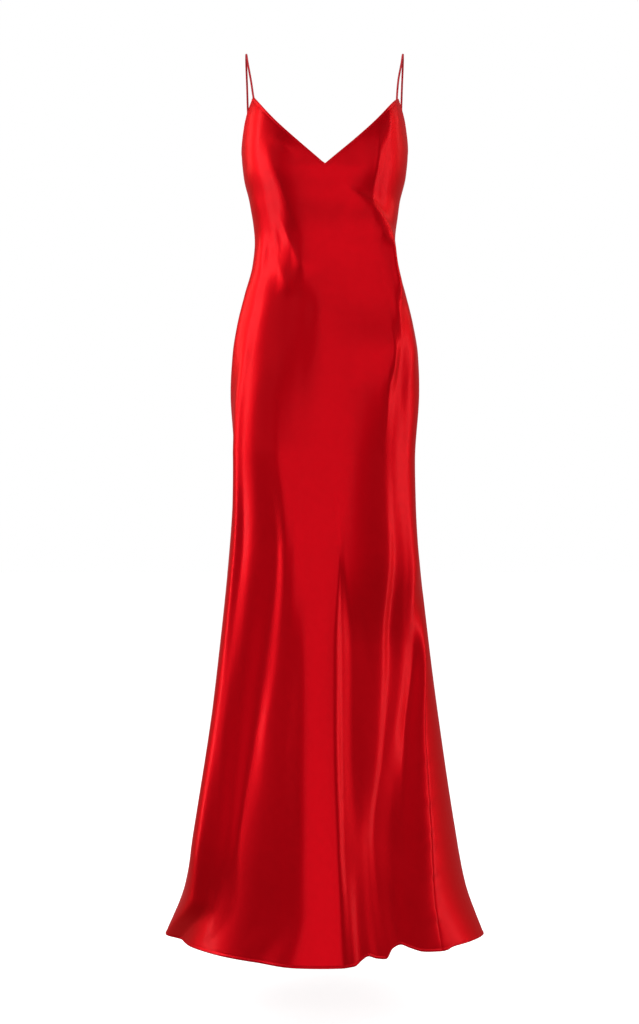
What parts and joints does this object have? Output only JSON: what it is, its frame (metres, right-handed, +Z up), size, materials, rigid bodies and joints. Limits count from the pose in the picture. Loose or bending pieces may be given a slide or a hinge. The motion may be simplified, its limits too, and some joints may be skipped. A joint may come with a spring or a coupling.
{
  "type": "slip dress",
  "caption": "Floor-length bias-cut satin slip dress with a V neck, open low back and thin straps, filled out as worn, flaring to a full hem.",
  "frame": {"origin": "midway between the tops of the two straps, where the shoulders hold the dress up", "axes": "+Z up, the front of the dress faces -Y, +X to the right of somebody who looks at its front"},
  "size_m": [0.5614, 0.5193, 1.5332],
  "materials": {
    "satin": "red silk satin, glossy face and duller back",
    "strap": "rouleau of the same red satin",
    "thread": "matching sewing thread"
  },
  "bodies": {
    "root": {"front": "satin", "back": "satin", "strap_left": "strap", "strap_right": "strap"}
  },
  "joints": []
}
